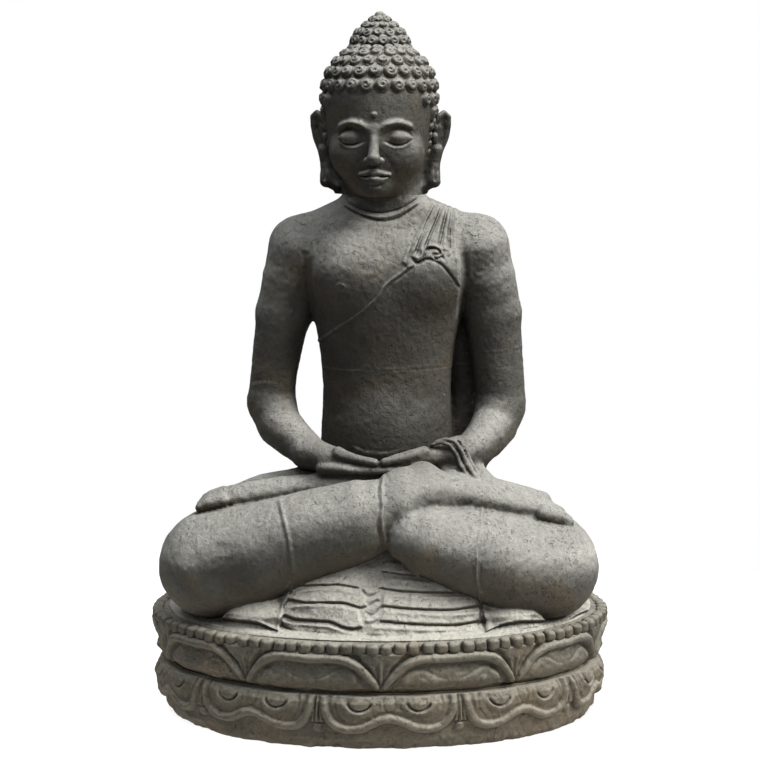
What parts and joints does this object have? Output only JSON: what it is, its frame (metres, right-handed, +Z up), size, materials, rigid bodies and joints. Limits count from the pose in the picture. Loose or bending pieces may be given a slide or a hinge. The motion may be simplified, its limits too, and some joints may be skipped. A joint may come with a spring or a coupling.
{
  "type": "buddha statue",
  "caption": "Seated meditating figure in dark pitted stone, legs crossed and hands in the lap, on a round double lotus pedestal it lifts off.",
  "frame": {"origin": "centre of the pedestal's underside, on the ground", "axes": "+Z up, the figure faces -Y, +X to the figure's left"},
  "size_m": [0.662, 0.4999, 1],
  "materials": {
    "figure_stone": "weathered dark volcanic stone, finely pitted, matt",
    "pedestal_stone": "weathered dark brown volcanic stone, finely pitted, matt",
    "mortar": "grey bedding mortar, rough",
    "stone_resin": "filled stone resin, matt",
    "sleeve_plastic": "smooth black plastic sleeve",
    "dowel_steel": "plain stainless bar"
  },
  "bodies": {
    "pedestal": {"lower_lotus_course": "pedestal_stone", "course_mortar_bed": "mortar", "course_dowels": "dowel_steel", "upper_lotus_course": "pedestal_stone", "locating_pins": "dowel_steel"},
    "figure": {"pin_sleeves": "sleeve_plastic", "lap_block": "figure_stone", "waist_resin_bed": "stone_resin", "trunk_dowels": "dowel_steel", "arm_dowels": "dowel_steel", "chest_block": "figure_stone", "neck_resin_bed": "stone_resin", "neck_dowel": "dowel_steel", "head_block": "figure_stone"}
  },
  "joints": [
    {"name": "figure_lift", "type": "slide", "parent": "pedestal", "child": "figure", "axis": [0, 0, 1], "range_m": [0, 0.12]}
  ]
}
